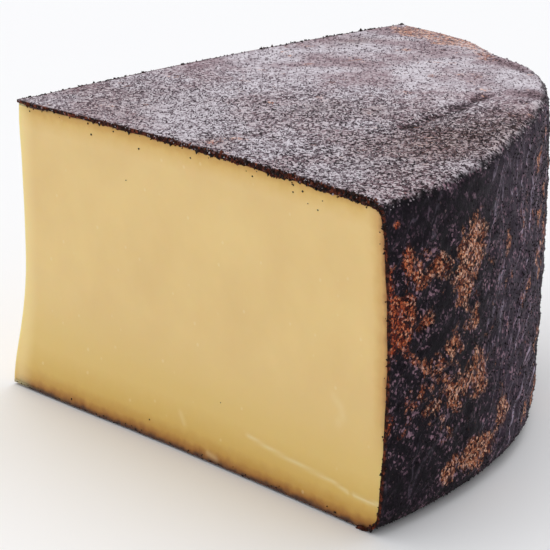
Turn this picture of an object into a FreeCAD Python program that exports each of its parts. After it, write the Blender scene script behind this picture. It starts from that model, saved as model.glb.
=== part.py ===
"""Quarter of a rubbed-rind cheddar wheel, cut by wire through the wheel's axis.

The wheel was pressed in a cloth-lined hoop. Its side is a shallow barrel that leans in towards
the foot on one side, its rims are rounded, its upper face is a little domed and higher on one
side, and the cloth left slow waves and one pleat in the rim. The two cut faces meet at the
wheel's axis. They are dished, and the soft paste at their meeting edge has settled into a foot.

Millimetres, +Z up. The block is drawn about the wheel's axis, with the first cut along +X, and
is then placed with the middle of its footprint at the origin, standing on Z = 0.
"""

import math
import os

import FreeCAD
import Part

SIZES = [
    # alias, value, what it is
    ("wheel_radius", 165.0, "half of the wheel's widest diameter, mm"),
    ("wheel_height", 98.5, "height of the upper face where the dome is highest, mm"),
    ("cut_angle", 88.0, "angle between the two cuts, degrees"),
    ("upper_inset", 1.7, "how far the upper rim stands in from the widest diameter, mm"),
    ("lower_inset", 1.0, "how far the lower rim stands in from the widest diameter, mm"),
    ("upper_round", 4.5, "radius of the upper rim, mm"),
    ("lower_round", 7.5, "radius of the lower rim, mm"),
    ("side_lean", 2.0, "how far the side leans in at the foot, mm"),
    ("lean_angle", 35.0, "where the side leans most, degrees round from the first cut"),
    ("lean_width", 28.0, "half width of the leaning stretch, degrees"),
    ("dome_radius", 2700.0, "radius of the domed upper face, mm"),
    ("dome_along", 110.0, "high spot of the dome, out along the first cut, mm"),
    ("dome_across", 135.0, "high spot of the dome, square to the first cut, mm"),
    ("cloth_wave", 1.2, "depth of the slow waves that the cloth pressed into the rim, mm"),
    ("pleat_depth", 2.6, "depth of the cloth pleat at the upper rim, mm"),
    ("pleat_angle", 66.0, "where the pleat lies, degrees round from the first cut"),
    ("pleat_width", 5.5, "half width of the pleat, degrees"),
    ("pleat_height", 21.0, "how far down the side the pleat dies out, mm"),
    ("face_dish", 1.4, "how far the middle of a cut face is dished, mm"),
    ("edge_dish", 0.8, "how far the edge where the cuts meet is dished, mm"),
    ("foot_flare", 2.8, "how far the paste has spread at the foot of the meeting edge, mm"),
    ("foot_height", 22.0, "height over which the foot dies out, mm"),
    ("foot_reach", 55.0, "length along a cut over which the foot dies out, mm"),
]

# Heights of the horizontal sections as shares of wheel_height. They crowd towards the foot,
# where the outline changes quickest, and the last one stands above the dome, which trims it.
SECTION_LEVELS = (0.0, 0.035, 0.09, 0.17, 0.28, 0.42, 0.58, 0.74, 0.9, 1.08)
WIDEST_LEVEL = 0.5  # share of the height at which the barrel is widest

# The cloth's slow waves: waves in a full turn, share of cloth_wave, place in the turn at the
# foot and how far they twist on the way up, both in radians.
CLOTH_WAVES = ((5.0, 1.0, 0.27, 2.2), (9.0, 0.7, 2.84, -3.1))

RIM_POINTS = 19  # points that shape the rim of a section
FACE_POINTS = 9  # points that shape each cut of a section
DOME_REACH = 2.2  # the dome is turned out to this many wheel radii
DOME_CLEARANCE = 0.3  # the turned cut stands this share of the height above the dome
RIM_ZONE = 0.9  # an edge further out than this share of the radius is on the side
RIM_BAND = 0.1  # a rim lies within this share of the height from the top or the foot


def make_sheet(doc):
    """The driving dimensions, one row each: alias, value, meaning."""
    sheet = doc.addObject("Spreadsheet::Sheet", "dims")
    for row, (alias, value, meaning) in enumerate(SIZES, start=1):
        sheet.set(f"A{row}", alias)
        sheet.set(f"B{row}", f"{value:g}")
        sheet.set(f"C{row}", meaning)
        sheet.setAlias(f"B{row}", alias)
    doc.recompute()
    return sheet


def origin_plane(body, role):
    """One of the body's own origin planes, found by its role."""
    return next(f for f in body.Origin.OriginFeatures if f.Role == role)


def through(points):
    """A smooth edge through evenly parametrised points, so that all sections share their knots."""
    last = len(points) - 1
    curve = Part.BSplineCurve()
    curve.interpolate(Points=points, Parameters=[i / last for i in range(last + 1)])
    return curve


def bump(distance, width):
    """A smooth bump, 1 at its middle, that dies out over the width."""
    return math.exp(-((distance / width) ** 2))


def polar(radius, degrees):
    """The point at this radius and angle about the wheel's axis."""
    turn = math.radians(degrees)
    return FreeCAD.Vector(radius * math.cos(turn), radius * math.sin(turn), 0)


def proud(dims, height, along):
    """How far a cut face stands proud of its plane: the settled foot, less the dish."""
    foot = dims.foot_flare * bump(height, dims.foot_height) * bump(along, dims.foot_reach)
    upward = math.sin(math.pi * min(height / dims.wheel_height, 1.0))
    outward = math.sin(math.pi * min(along / dims.wheel_radius, 1.0))
    dish = dims.edge_dish + (dims.face_dish - dims.edge_dish) * outward
    return foot - dish * upward


def rim_radius(dims, height, degrees):
    """Radius of the wheel's side: a leaning barrel with the cloth's waves and one pleat."""
    level = height / dims.wheel_height
    reach = (level - WIDEST_LEVEL) / WIDEST_LEVEL
    inset = dims.upper_inset if reach > 0 else dims.lower_inset
    barrel = dims.wheel_radius - inset * reach ** 2
    lean = dims.side_lean * (1.0 - level) * bump(degrees - dims.lean_angle, dims.lean_width)
    waves = 0.0
    for count, share, place, twist in CLOTH_WAVES:
        waves += share * math.sin(count * math.radians(degrees) + place + twist * level)
    around = bump(degrees - dims.pleat_angle, dims.pleat_width)
    pleat = dims.pleat_depth * around * bump(dims.wheel_height - height, dims.pleat_height)
    return barrel - lean + dims.cloth_wave * waves - pleat


def cut_points(dims, height, degrees, outward, start):
    """Points along one cut, from the meeting edge out to the rim."""
    end = rim_radius(dims, height, degrees)
    points = [start]
    for i in range(1, FACE_POINTS):
        along = end * i / (FACE_POINTS - 1)
        points.append(polar(along, degrees) + outward * proud(dims, height, along))
    return points


def section_outline(dims, height):
    """The closed outline of one horizontal section: first cut, rim, second cut."""
    first_out = polar(1.0, -90.0)
    second_out = polar(1.0, dims.cut_angle + 90.0)
    # both faces stand proud by the same amount where they meet
    between = first_out + second_out
    meeting = between * (proud(dims, height, 0.0) / between.dot(first_out))
    first = cut_points(dims, height, 0.0, first_out, meeting)
    second = cut_points(dims, height, dims.cut_angle, second_out, meeting)
    rim = [first[-1]]
    for i in range(1, RIM_POINTS - 1):
        degrees = dims.cut_angle * i / (RIM_POINTS - 1)
        rim.append(polar(rim_radius(dims, height, degrees), degrees))
    rim.append(second[-1])
    return [through(first), through(rim), through(second[::-1])]


def section_sketch(body, dims, number, level):
    """One horizontal section, held at its share of the wheel's height."""
    sketch = body.newObject("Sketcher::SketchObject", f"section_{number:02d}")
    sketch.AttachmentSupport = (origin_plane(body, "XY_Plane"), [""])
    sketch.MapMode = "FlatFace"
    sketch.setExpression("AttachmentOffset.Base.z", f"dims.wheel_height * {level}")
    for curve in section_outline(dims, level * dims.wheel_height):
        sketch.addGeometry(curve, False)
    return sketch


def loft_block(body, dims):
    """The block as cut, up to a plain flat top that stands above the dome."""
    sketches = [section_sketch(body, dims, n, level) for n, level in enumerate(SECTION_LEVELS)]
    body.Document.recompute()
    block = body.newObject("PartDesign::AdditiveLoft", "block")
    block.Profile = sketches[0]
    block.Sections = sketches[1:]
    block.Ruled = False
    for sketch in sketches:
        sketch.Visibility = False


def dome_groove(body, dims):
    """Turns away what stands above the domed upper face, about a level axis far below the wheel."""
    line = body.newObject("Sketcher::SketchObject", "dome_line")
    line.AttachmentSupport = (origin_plane(body, "XZ_Plane"), [""])
    line.MapMode = "FlatFace"
    # the sketch's own Z points along -Y, so the high spot's distance across is minus its offset
    line.setExpression("AttachmentOffset.Base.x", "dims.dome_along")
    line.setExpression("AttachmentOffset.Base.y", "dims.wheel_height")
    line.setExpression("AttachmentOffset.Base.z", "-dims.dome_across")
    reach = DOME_REACH * dims.wheel_radius
    above = DOME_CLEARANCE * dims.wheel_height
    swing = math.asin(reach / dims.dome_radius)
    sag = dims.dome_radius * (1.0 - math.cos(swing))
    centre = FreeCAD.Vector(0, -dims.dome_radius, 0)
    circle = Part.Circle(centre, FreeCAD.Vector(0, 0, 1), dims.dome_radius)
    upright = math.pi / 2
    line.addGeometry(Part.ArcOfCircle(circle, upright - swing, upright + swing), False)
    corners = [
        FreeCAD.Vector(-reach, -sag, 0),
        FreeCAD.Vector(-reach, above, 0),
        FreeCAD.Vector(reach, above, 0),
        FreeCAD.Vector(reach, -sag, 0),
    ]
    for a, b in zip(corners, corners[1:]):
        line.addGeometry(Part.LineSegment(a, b), False)
    # the axis lies level, so that the dome's seam and poles fall outside the wheel
    line.addGeometry(Part.LineSegment(centre, centre + FreeCAD.Vector(reach, 0, 0)), True)
    body.Document.recompute()
    groove = body.newObject("PartDesign::Groove", "dome")
    groove.Profile = line
    groove.ReferenceAxis = (line, ["Axis0"])
    groove.Midplane = True
    groove.Angle = 2.0 * math.degrees(swing)
    line.Visibility = False
    body.Document.recompute()
    return groove


def rim_edge(shape, dims, low):
    """The name of the edge that runs round the upper or the lower rim."""
    wanted = 0.0 if low else dims.wheel_height
    found = []
    for number, edge in enumerate(shape.Edges, start=1):
        middle = edge.valueAt((edge.FirstParameter + edge.LastParameter) / 2)
        away = abs(middle.z - wanted)
        on_side = math.hypot(middle.x, middle.y) > RIM_ZONE * dims.wheel_radius
        if on_side and away < RIM_BAND * dims.wheel_height:
            found.append((away, f"Edge{number}"))
    return min(found)[1]


def round_rim(body, before, dims, name, low):
    """Rounds one rim of the wheel."""
    fillet = body.newObject("PartDesign::Fillet", name)
    fillet.Base = (before, [rim_edge(before.Shape, dims, low)])
    fillet.setExpression("Radius", "dims.lower_round" if low else "dims.upper_round")
    body.Document.recompute()
    return fillet


def build_cheddar(doc, dims):
    """The quarter wheel as one body."""
    body = doc.addObject("PartDesign::Body", "cheddar_quarter")
    body.Label = "cheddar_quarter"
    loft_block(body, dims)
    doc.recompute()
    dome = dome_groove(body, dims)
    upper = round_rim(body, dome, dims, "upper_rim", low=False)
    round_rim(body, upper, dims, "lower_rim", low=True)
    return body


def stand_at_origin(body):
    """Puts the middle of the footprint's box at the origin."""
    box = body.Shape.optimalBoundingBox()
    body.Placement.Base = FreeCAD.Vector(-box.Center.x, -box.Center.y, -box.ZMin)
    body.Document.recompute()


def check(doc, body):
    """Stops the build if anything failed, before a file is written."""
    for item in doc.Objects:
        failed = {"Invalid", "Error"} & set(item.State)
        if failed:
            raise RuntimeError(f"{item.Label} is {sorted(failed)}")
    if body.Shape.isNull() or not body.Shape.isValid() or len(body.Shape.Solids) != 1:
        raise RuntimeError(f"{body.Label} is not one valid solid")


def main():
    doc = FreeCAD.newDocument("cheddar")
    dims = make_sheet(doc)
    body = build_cheddar(doc, dims)
    stand_at_origin(body)
    check(doc, body)
    os.makedirs("parts", exist_ok=True)
    body.Shape.exportStep(f"parts/{body.Label}.step")
    box = body.Shape.optimalBoundingBox()
    litres = body.Shape.Volume / 1e6
    print(f"{body.Label}: {box.XLength:.1f} x {box.YLength:.1f} x {box.ZLength:.1f} mm, "
          f"{litres:.3f} litres, {len(body.Shape.Faces)} faces")


main()
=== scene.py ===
import math
from functools import partial

import bmesh
import bpy
import numpy as np
from mathutils import Matrix, Vector
from mathutils.bvhtree import BVHTree


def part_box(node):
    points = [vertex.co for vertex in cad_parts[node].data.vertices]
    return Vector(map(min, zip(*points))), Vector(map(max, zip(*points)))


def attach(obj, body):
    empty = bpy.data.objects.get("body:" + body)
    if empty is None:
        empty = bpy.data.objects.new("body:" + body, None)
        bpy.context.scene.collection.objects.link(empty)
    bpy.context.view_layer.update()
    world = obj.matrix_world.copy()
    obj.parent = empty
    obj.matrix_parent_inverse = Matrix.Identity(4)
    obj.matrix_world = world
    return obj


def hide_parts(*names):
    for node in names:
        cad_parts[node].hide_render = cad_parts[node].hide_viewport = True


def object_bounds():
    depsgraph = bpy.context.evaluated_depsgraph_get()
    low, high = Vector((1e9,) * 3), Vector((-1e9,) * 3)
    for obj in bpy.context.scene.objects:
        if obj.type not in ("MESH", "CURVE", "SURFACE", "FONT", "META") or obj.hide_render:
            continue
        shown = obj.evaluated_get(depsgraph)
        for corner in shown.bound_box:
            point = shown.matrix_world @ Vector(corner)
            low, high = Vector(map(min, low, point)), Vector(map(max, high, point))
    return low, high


# A quarter of a cheddar wheel whose rind was rubbed with ground coffee: the two wire-cut faces
# of paste, the crusted rind round them, and the loose grounds that stick to both.
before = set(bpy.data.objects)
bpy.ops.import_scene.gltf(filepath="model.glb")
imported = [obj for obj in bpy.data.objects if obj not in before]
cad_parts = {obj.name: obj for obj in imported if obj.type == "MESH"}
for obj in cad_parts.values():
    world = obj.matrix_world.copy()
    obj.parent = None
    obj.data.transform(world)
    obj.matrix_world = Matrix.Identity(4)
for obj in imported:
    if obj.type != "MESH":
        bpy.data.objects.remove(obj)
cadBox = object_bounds()
mm = 0.001
nodeName = "cheddar_quarter"
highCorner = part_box(nodeName)[1]

# kinds of node that come again and again; a ranged node's inputs are, in order, its value, the two
# ends that it reads and the two that it gives; a mix of colours has its share at 0 and its colours
# at 6 and 7, and comes out at 2; a random number's ends are at 2 and 3, and it comes out at 1
attribute = "ShaderNodeAttribute"
maths = "ShaderNodeMath"
mix = "ShaderNodeMix"
named = "GeometryNodeInputNamedAttribute"
noise = "ShaderNodeTexNoise"
random = "FunctionNodeRandomValue"
ramp = "ShaderNodeValToRGB"
ranged = "ShaderNodeMapRange"
cells = "ShaderNodeTexVoronoi"


def smoothstep(value, start, end):
    share = np.clip((value - start) / (end - start), 0.0, 1.0)
    return share * share * (3.0 - 2.0 * share)


def bump(distance, width):
    # 1 at no distance, dying out over the width
    return np.exp(-((distance / width) ** 2))


def perMetre(millimetres):
    # a pattern's scale: how many features of this size there are to the metre, to two figures
    return float(f"{1.0 / (millimetres * mm):.2g}")


def linearColour(hexColour):
    # sRGB hex to the linear values that shaders want
    parts = [int(hexColour[i:i + 2], 16) / 255.0 for i in (1, 3, 5)]
    linear = [c / 12.92 if c <= 0.04045 else ((c + 0.055) / 1.055) ** 2.4 for c in parts]
    return (*linear, 1.0)


def fillInputs(tree, item, inputs):
    # fills or links a node's inputs, given in order or by name
    for name, value in inputs.items() if isinstance(inputs, dict) else enumerate(inputs):
        if isinstance(value, bpy.types.NodeSocket):
            tree.links.new(value, item.inputs[name])
        elif isinstance(value, str) and value.startswith("#"):
            item.inputs[name].default_value = linearColour(value)
        else:
            item.inputs[name].default_value = value


def addNode(tree, kind, inputs=(), out=0, stops=(), **settings):
    # adds a node with its settings and links, and gives back one output; stops are the places and
    # colours of a ramp
    item = tree.nodes.new(kind)
    for name, value in settings.items():
        setattr(item, name, value)
    elements = item.color_ramp.elements if stops else ()
    while len(elements) < len(stops):
        elements.new(0.5)
    for element, (place, colour) in zip(elements, stops):
        element.position = place
        element.color = linearColour(colour)
    fillInputs(tree, item, inputs)
    return item.outputs[out]


def addToScene(name, data):
    obj = bpy.data.objects.new(name, data)
    bpy.context.scene.collection.objects.link(obj)
    return obj


def meshObject(name, points, faces):
    mesh = bpy.data.meshes.new(name)
    mesh.from_pydata([tuple(p) for p in points], [], [tuple(f) for f in faces])
    mesh.validate()
    return addToScene(name, mesh)


def setAttributes(obj, layers):
    # keeps a number or a vector for each vertex, which trees and materials read by name
    for name, values in layers.items():
        values = np.asarray(values, np.float32)
        kind, field = ("FLOAT_VECTOR", "vector") if values.ndim == 2 else ("FLOAT", "value")
        obj.data.attributes.new(name, kind, "POINT").data.foreach_set(field, values.ravel())


def readVectors(items, field):
    values = np.zeros(len(items) * 3)
    items.foreach_get(field, values)
    return values.reshape(-1, 3)


def turnOutwards(obj):
    # every face of a closed mesh outwards
    work = bmesh.new()
    work.from_mesh(obj.data)
    bmesh.ops.recalc_face_normals(work, faces=work.faces)
    work.to_mesh(obj.data)
    work.free()


def smoothFaces(obj, sharpDegrees):
    obj.data.shade_smooth()
    obj.data.set_sharp_from_angle(angle=math.radians(sharpDegrees))


def lineDistance(corners, x, y):
    # how far each place is from a line with a few corners
    nearest = np.full(len(x), 1e9)
    for (x0, y0), (x1, y1) in zip(corners[:-1], corners[1:]):
        dx, dy = x1 - x0, y1 - y0
        t = np.clip(((x - x0) * dx + (y - y0) * dy) / (dx * dx + dy * dy), 0.0, 1.0)
        nearest = np.minimum(nearest, np.hypot(x - x0 - t * dx, y - y0 - t * dy))
    return nearest


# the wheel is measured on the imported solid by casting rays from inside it
wheel = {
    "cutAngle": 88.0,         # degrees between the two cuts
    "centreAbove": 0.85,      # the wheel's centre is looked for above this share of the height
    "upperCorner": 8.0 * mm,  # the band over the upper rim starts this far in
    "rimLevel": 0.9,          # the rim is measured this far up, less the upper corner
    "rimDepth": 30.0 * mm,    # by rays that start this far inside it
    "topNearest": 9.0 * mm,   # the top is measured no nearer to the wheel's centre than this
    "castMargin": 3.5 * mm,   # and no nearer to a cut than this
    "probeDepth": 24.0 * mm,  # rays that look for a cut face start this far inside it
    "probeNearest": 2.0 * mm,  # and no nearer to the wheel's centre than this
    "probeReach": 0.97,       # they go out to this share of the radius
    "probeFoot": 0.01,        # and run between these shares of the height
    "probeTop": 0.93,
    "probeColumns": 26,
    "probeRows": 16,
    "cutFade": 9.0 * mm,      # a cut face's dish has died out this far inside the wheel
}
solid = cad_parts[nodeName].data
corners = np.array([v.co for v in solid.vertices])
solidTree = BVHTree.FromPolygons([v.co for v in solid.vertices], [p.vertices[:] for p in solid.polygons])
height = highCorner.z
topCorners = corners[corners[:, 2] > wheel["centreAbove"] * height]
axis = topCorners[np.argmin(topCorners[:, 0] + topCorners[:, 1])]
axisX, axisY = float(axis[0]), float(axis[1])
radius = highCorner.x - axisX
cutRadians = math.radians(wheel["cutAngle"])
firstOut = np.array([0.0, -1.0])
secondOut = np.array([-math.sin(cutRadians), math.cos(cutRadians)])
secondAlong = np.array([math.cos(cutRadians), math.sin(cutRadians)])
print(f"wheel: radius {radius / mm:.1f} mm, height {height / mm:.1f} mm")


def castTo(origin, direction):
    return solidTree.ray_cast(Vector(origin), Vector(direction))[0]


def measureFace(along, outward):
    # how far one cut face stands proud of its plane, over a coarse grid of places
    found = np.zeros((wheel["probeRows"], wheel["probeColumns"]))
    for row, up in enumerate(np.linspace(wheel["probeFoot"], wheel["probeTop"], wheel["probeRows"])):
        for column, out in enumerate(np.linspace(0.0, wheel["probeReach"], wheel["probeColumns"])):
            start = along * max(out * radius, wheel["probeNearest"]) - outward * wheel["probeDepth"]
            hit = castTo((axisX + start[0], axisY + start[1], up * height), (*outward, 0.0))
            if hit is not None:
                found[row, column] = float(np.array([hit.x - axisX, hit.y - axisY]) @ outward)
    return found


def cubicWeights(t):
    return (
        -0.5 * t + t ** 2 - 0.5 * t ** 3,
        1.0 - 2.5 * t ** 2 + 1.5 * t ** 3,
        0.5 * t + 2.0 * t ** 2 - 1.5 * t ** 3,
        -0.5 * t ** 2 + 0.5 * t ** 3,
    )


def cubicSample(grid, across, up):
    # smooth values between the places of a coarse grid; across and up run from 0 to 1
    rows, columns = grid.shape
    x = np.clip(across, 0.0, 1.0) * (columns - 1)
    y = np.clip(up, 0.0, 1.0) * (rows - 1)
    x0 = np.clip(np.floor(x).astype(int), 0, columns - 2)
    y0 = np.clip(np.floor(y).astype(int), 0, rows - 2)
    weightsX = cubicWeights(x - x0)
    weightsY = cubicWeights(y - y0)
    total = 0.0
    for i in range(4):
        for j in range(4):
            column = np.clip(x0 + i - 1, 0, columns - 1)
            row = np.clip(y0 + j - 1, 0, rows - 1)
            total = total + weightsX[i] * weightsY[j] * grid[row, column]
    return total


firstProud = measureFace(np.array([1.0, 0.0]), firstOut)
secondProud = measureFace(secondAlong, secondOut)


def proudOf(grid, along, up):
    share = (up / height - wheel["probeFoot"]) / (wheel["probeTop"] - wheel["probeFoot"])
    return cubicSample(grid, along / (wheel["probeReach"] * radius), share)


def polarPlace(reach, turn, up):
    # a place in the wheel, moved with the dish and foot of the cut faces near it
    reach, turn, up = np.broadcast_arrays(reach, turn, up)
    x, y = reach * np.cos(turn), reach * np.sin(turn)
    fromSecond = reach * np.sin(cutRadians - turn)
    first = proudOf(firstProud, reach, up) * bump(y, wheel["cutFade"])
    second = proudOf(secondProud, reach, up) * bump(fromSecond, wheel["cutFade"])
    x = x + first * firstOut[0] + second * secondOut[0]
    y = y + first * firstOut[1] + second * secondOut[1]
    return np.stack([axisX + x, axisY + y, up], -1)


def insideTurn(reach, turn):
    # the same place, at least the margin inside both cuts
    margin = wheel["castMargin"]
    least = math.asin(min(margin / max(reach, 2.5 * margin), 1.0))
    return min(max(turn, least), cutRadians - least)


def topHeight(reach, turn):
    reach = max(reach, wheel["topNearest"])
    turn = insideTurn(reach, turn)
    start = (axisX + reach * math.cos(turn), axisY + reach * math.sin(turn), 0.5 * height)
    return castTo(start, (0.0, 0.0, 1.0)).z


def profileHit(turn, reach, up, slope):
    # where a ray in the upright plane at this turn leaves the solid, as (radius, height)
    turn = insideTurn(reach, turn)
    cosine, sine = math.cos(turn), math.sin(turn)
    direction = (math.cos(slope) * cosine, math.cos(slope) * sine, math.sin(slope))
    hit = castTo((axisX + reach * cosine, axisY + reach * sine, up), direction)
    return math.hypot(hit.x - axisX, hit.y - axisY), hit.z


def rimRadius(turn):
    # how far out the side stands, just under the upper rim
    level = wheel["rimLevel"] * height - wheel["upperCorner"]
    return profileHit(turn, radius - wheel["rimDepth"], level, 0.0)[0]


def slowNoise(points, size, seed):
    # a few crossed sine waves: smooth, repeatable wander between -1 and 1
    rng = np.random.default_rng(seed)
    total = np.zeros(len(points))
    for _ in range(7):
        direction = rng.normal(size=3)
        direction /= np.linalg.norm(direction)
        wave = 2.0 * math.pi / (size * rng.uniform(0.6, 1.6))
        total += np.sin(points @ direction * wave + rng.uniform(0.0, 2.0 * math.pi))
    return total / 3.5


def gridFaces(index):
    # quads over a rectangular array of vertex numbers
    a, b = index[:-1, :-1].ravel(), index[:-1, 1:].ravel()
    c, d = index[1:, 1:].ravel(), index[1:, :-1].ravel()
    return np.stack([a, b, c, d], -1).tolist()


rind = {
    "gridCells": 180,         # along each straight side of the top
    "lowerCorner": 10.0 * mm,  # the band over the lower rim starts this far in
    "upperRows": 15,
    "sideRows": 90,
    "lowerRows": 15,
    "innerStep": 3,           # the inner skin has every third place, which the cut edge's faces rely on
    "thinDepth": 0.95 * mm,   # of the crust, down from the solid's surface, at the wheel's centre
    "thickDepth": 2.3 * mm,   # and on top at the rim
    "depthWander": 0.25 * mm,
    "stripProud": 0.15 * mm,  # the cut edge of the crust stands proud of the paste
    "sharpEdge": 60,          # degrees
}


def squareToQuarter(across, up):
    # a unit square laid onto a quarter disc, gives radius share and turn
    x = across * np.sqrt(1.0 - up ** 2 / 2.0)
    y = up * np.sqrt(1.0 - across ** 2 / 2.0)
    return np.hypot(x, y), np.arctan2(y, x) * (cutRadians / (math.pi / 2.0))


def bandRows(turns, rims, tops):
    # (radius, height) of the rows that run from the top over the rim and down under the wheel
    upper, lower = wheel["upperCorner"], rind["lowerCorner"]
    quarter = math.pi / 2
    rays = [("upper", quarter * (1.0 - i / rind["upperRows"])) for i in range(1, rind["upperRows"] + 1)]
    rays += [("side", i / rind["sideRows"]) for i in range(1, rind["sideRows"] + 1)]
    rays += [("lower", -quarter * i / rind["lowerRows"]) for i in range(1, rind["lowerRows"] + 1)]

    def rowPlace(kind, value, turn, rim, top):
        if kind == "upper":
            return profileHit(turn, rim - upper, top - upper, value)
        if kind == "lower":
            return profileHit(turn, rim - lower, lower, value)
        return profileHit(turn, rim - upper, (top - upper) + value * (lower - (top - upper)), 0.0)

    return [np.array([rowPlace(*ray, *edge) for edge in zip(turns, rims, tops)]) for ray in rays]


def rindSkin():
    # the crust's outer skin over the top, the upper rim, the side and the lower rim
    count = rind["gridCells"]
    up, across = np.meshgrid(np.linspace(0, 1, count + 1), np.linspace(0, 1, count + 1), indexing="ij")
    share, turn = squareToQuarter(across, up)
    share, turn = share.ravel(), turn.ravel()
    grid = np.arange((count + 1) ** 2).reshape(count + 1, count + 1)
    # the grid's two outer sides, from the first cut to the second, are the top's round edge
    edge = np.concatenate([grid[:, count], grid[count, count - 1::-1]])
    edgeTurn = turn[edge]
    edgeRadius = np.array([rimRadius(t) for t in edgeTurn])
    order = np.argsort(edgeTurn)
    rimAt = np.interp(turn, edgeTurn[order], edgeRadius[order])
    reach = share * (rimAt - wheel["upperCorner"])
    tops = np.array([topHeight(r, t) for r, t in zip(reach, turn)])
    points = [polarPlace(reach, turn, tops)]
    band = [edge]
    for number, place in enumerate(bandRows(edgeTurn, edgeRadius, tops[edge])):
        points.append(polarPlace(place[:, 0], edgeTurn, place[:, 1]))
        band.append(len(reach) + number * len(edge) + np.arange(len(edge)))
    return np.concatenate(points), grid, np.array(band)


def buildRind():
    points, grid, band = rindSkin()
    outerFaces = gridFaces(grid) + gridFaces(band)
    skin = meshObject("skinDraft", points, outerFaces)
    turnOutwards(skin)
    lift = readVectors(skin.data.vertices, "normal")
    if lift[grid[40, 40], 2] < 0:    # any place on the top tells which way the skin was turned
        lift = -lift
    bpy.data.objects.remove(skin)
    # at the cuts the crust is lifted within the cut, so that its edge stays flush
    firstEdge = np.concatenate([grid[0, :], band[1:, 0]])
    secondEdge = np.concatenate([grid[:, 0], band[1:, -1]])
    for edge, outward in ((firstEdge, firstOut), (secondEdge, secondOut)):
        sideways = np.array([*outward, 0.0])
        lift[edge] -= np.outer(lift[edge] @ sideways, sideways)
        points[edge] += sideways * rind["stripProud"]
    lift /= np.linalg.norm(lift, axis=1)[:, None]
    step = rind["innerStep"]
    coarseGrid, coarseBand = grid[::step, ::step], band[::step, ::step]
    used = np.unique(np.concatenate([coarseGrid.ravel(), coarseBand.ravel()]))
    renumber = -np.ones(len(points), int)
    renumber[used] = np.arange(len(used)) + len(points)
    fromAxis = np.hypot(points[used, 0] - axisX, points[used, 1] - axisY)
    onTop = smoothstep(lift[used, 2], 0.2, 0.9)
    depth = rind["thinDepth"] + (rind["thickDepth"] - rind["thinDepth"]) * onTop * fromAxis / radius
    depth += rind["depthWander"] * slowNoise(points[used], 8 * mm, 11)
    inner = points[used] - lift[used] * depth[:, None]
    innerFaces = gridFaces(renumber[coarseGrid]) + gridFaces(renumber[coarseBand])
    # one closed loop round the crust's cut edge: out along the first cut, under the rim, and back
    loop = np.concatenate([grid[0, :-1], band[:-1, 0], band[-1, :-1], band[:0:-1, -1], grid[:0:-1, 0]])
    wall = []
    for start in range(0, len(loop), step):
        a, b, c, d = [loop[(start + i) % len(loop)] for i in range(step + 1)]
        near, far = renumber[a], renumber[d]
        wall += [(a, b, near), (b, c, near), (c, far, near), (c, d, far)]
    allPoints = np.concatenate([points, inner])
    obj = meshObject("rind", allPoints, outerFaces + innerFaces + wall)
    turnOutwards(obj)
    allLift = np.zeros((len(allPoints), 3))
    allLift[:len(points)] = lift
    cutEdge = np.ones(len(allPoints))
    cutEdge[:len(points)] = 0.0
    cutEdge[np.concatenate([firstEdge, secondEdge])] = 1.0
    setAttributes(obj, {"lift": allLift, "cutEdge": cutEdge})
    smoothFaces(obj, rind["sharpEdge"])
    return obj


rindPiece = buildRind()
print(f"rind: {len(rindPiece.data.vertices)} places, {len(rindPiece.data.polygons)} faces")

# marks that the cutting wire left: corners in mm out from the wheel's centre and up, then half width,
# depth and how pale the mark is
wireMarks = {
    "upperStroke": ([(108, 13.5), (120, 12), (134, 11), (144, 10.5), (151, 9)], 0.5, 0.2, 0.9),
    "lowerStroke": ([(153, 9), (159, 8.7), (166, 9.5)], 0.5, 0.25, 1.1),
    "scrape": ([(144, 35), (147, 33), (148, 30), (146, 28)], 1.3, 0.12, 0.3),
    "nearCrumb": ([(78, 12), (80, 9)], 0.9, -0.1, 0.4),
    "footCrumb": ([(91, 3), (95, 2.4)], 0.8, -0.15, 0.5),
}
paste = {
    "columns": 200,           # cells from the wheel's centre out to the rind
    "turns": 48,              # cells round the hidden wall under the rind
    "cornerRows": 14,         # rows up to the lower zone, and again from the upper zone to the top
    "middleRows": 84,         # and between them
    "lowerZone": 9.0 * mm,
    "upperZone": 90.0 * mm,
    "rowsHigh": 96.0 * mm,    # the height that the rows are laid out for, before they are stretched
    "rimStep": 5.0 * mm,      # the top beside the rim is measured this far in from it
    "rayGap": 0.12 * mm,      # no ray runs nearer to the top or the foot than this
    "underCut": 0.65 * mm,    # the paste reaches this far below the solid's skin at the cuts
    "underRind": 1.7 * mm,    # and this far between them, where the crust hides it
    "faceInset": 0.35 * mm,   # the cut face lies this far inside the solid's
    "sharpEdge": 50,          # degrees
}


def pasteOutline(turnAt, under):
    # how far out the paste reaches in each upright plane at each row, and its top over each column
    level = np.concatenate([
        np.linspace(0.0, paste["lowerZone"], paste["cornerRows"], endpoint=False),
        np.linspace(paste["lowerZone"], paste["upperZone"], paste["middleRows"], endpoint=False),
        np.linspace(paste["upperZone"], paste["rowsHigh"], paste["cornerRows"] + 1),
    ]) / paste["rowsHigh"]
    share = np.linspace(0.0, 1.0, paste["columns"] + 1)
    reach = np.zeros((len(level), len(turnAt)))
    for j, turn in enumerate(turnAt):
        topAtRim = topHeight(rimRadius(turn) - paste["rimStep"], turn)
        for i, part in enumerate(level):
            up = min(max(part * topAtRim, paste["rayGap"]), topAtRim - paste["rayGap"])
            reach[i, j] = profileHit(turn, radius - wheel["rimDepth"], up, 0.0)[0] - under[j]
    tops = np.array([[topHeight(s * reach[-1, j], t) for j, t in enumerate(turnAt)] for s in share])
    return level, share, reach, tops


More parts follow.
